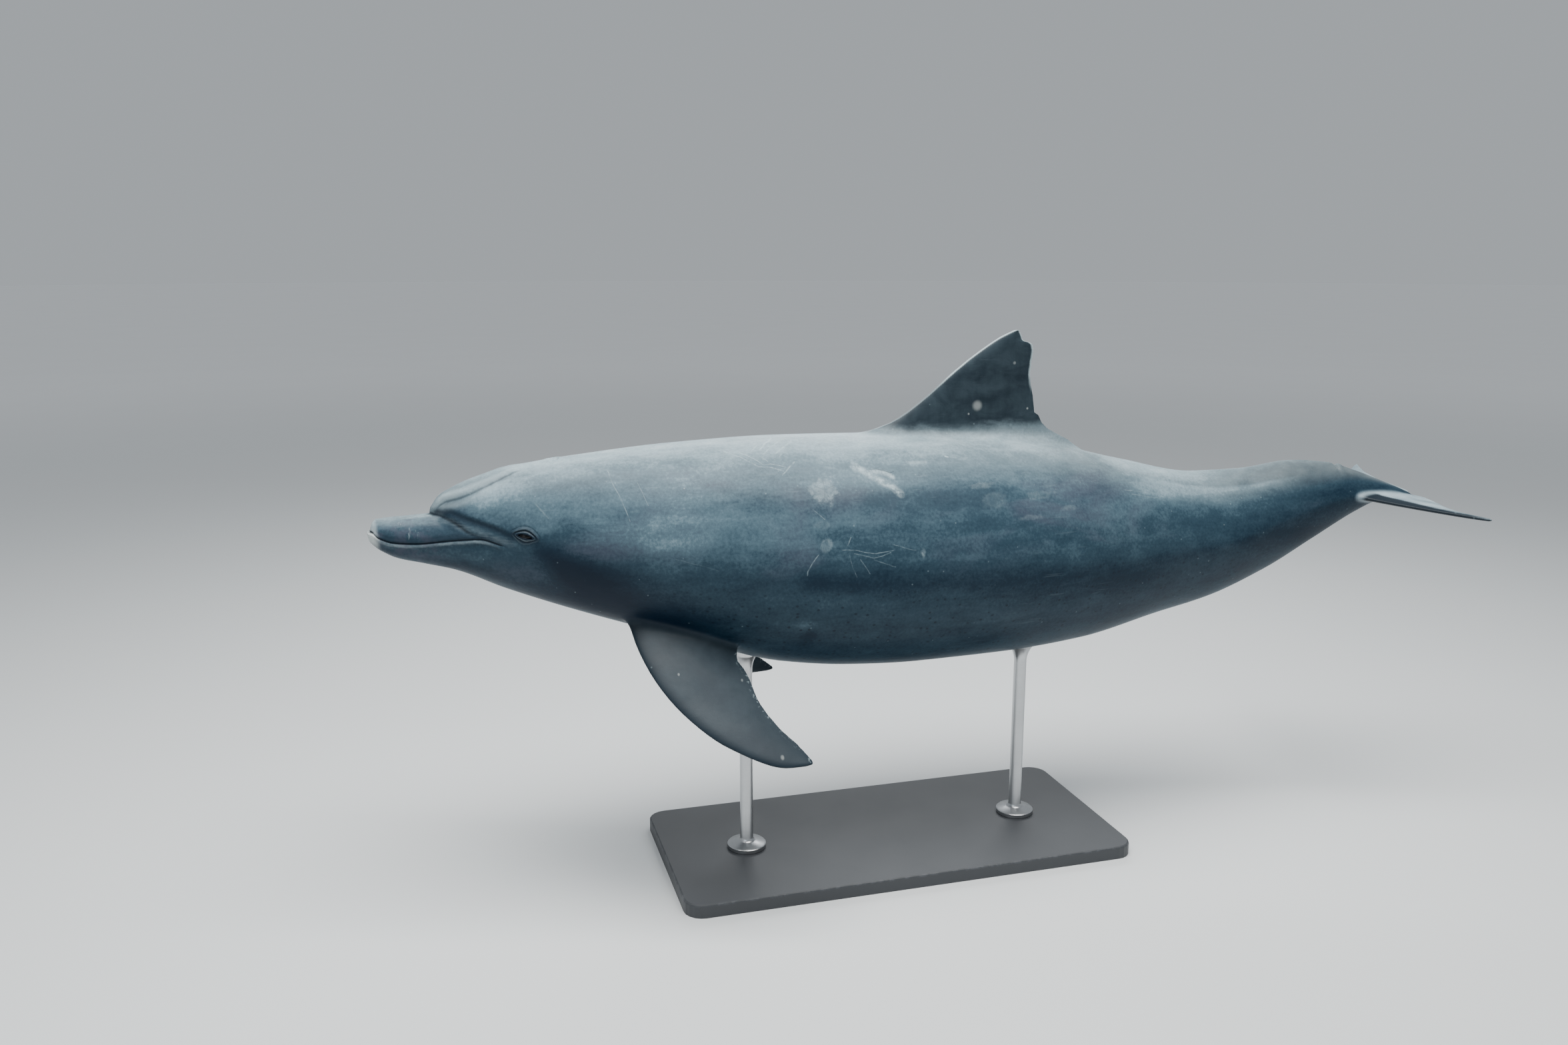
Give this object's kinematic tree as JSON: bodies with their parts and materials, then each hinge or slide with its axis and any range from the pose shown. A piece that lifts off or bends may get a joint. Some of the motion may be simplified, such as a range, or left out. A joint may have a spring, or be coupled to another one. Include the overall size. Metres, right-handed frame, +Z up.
{
  "type": "bottlenose dolphin",
  "caption": "Life-size still model of an adult bottlenose dolphin, level as if gliding, held over a flat rectangular base by short upright rods.",
  "frame": {"origin": "middle of the underside of the stand's base, midway between the rods and below the animal's centre of mass", "axes": "+Z up, +X from the snout towards the tail, -Y towards the animal's left side"},
  "size_m": [2.3965, 0.5462, 1.1337],
  "materials": {
    "skin": "smooth slate-grey skin, satin, paler below, with faint scratches and scars",
    "eye": "wet gloss, near black",
    "stand_base": "satin dark grey powder coat",
    "stand_rod": "fine brushed steel"
  },
  "bodies": {
    "root": {"upper_jaw": "skin", "lower_jaw": "skin", "head": "skin", "neck": "skin", "chest": "skin", "trunk": "skin", "loin": "skin", "tail_stock": "skin", "dorsal_fin": "skin", "flipper_left": "skin", "flipper_right": "skin", "fluke_left": "skin", "fluke_right": "skin", "eye_left": "eye", "eye_right": "eye", "stand_base": "stand_base", "stand_rod_front": "stand_rod", "stand_rod_rear": "stand_rod"}
  },
  "joints": []
}
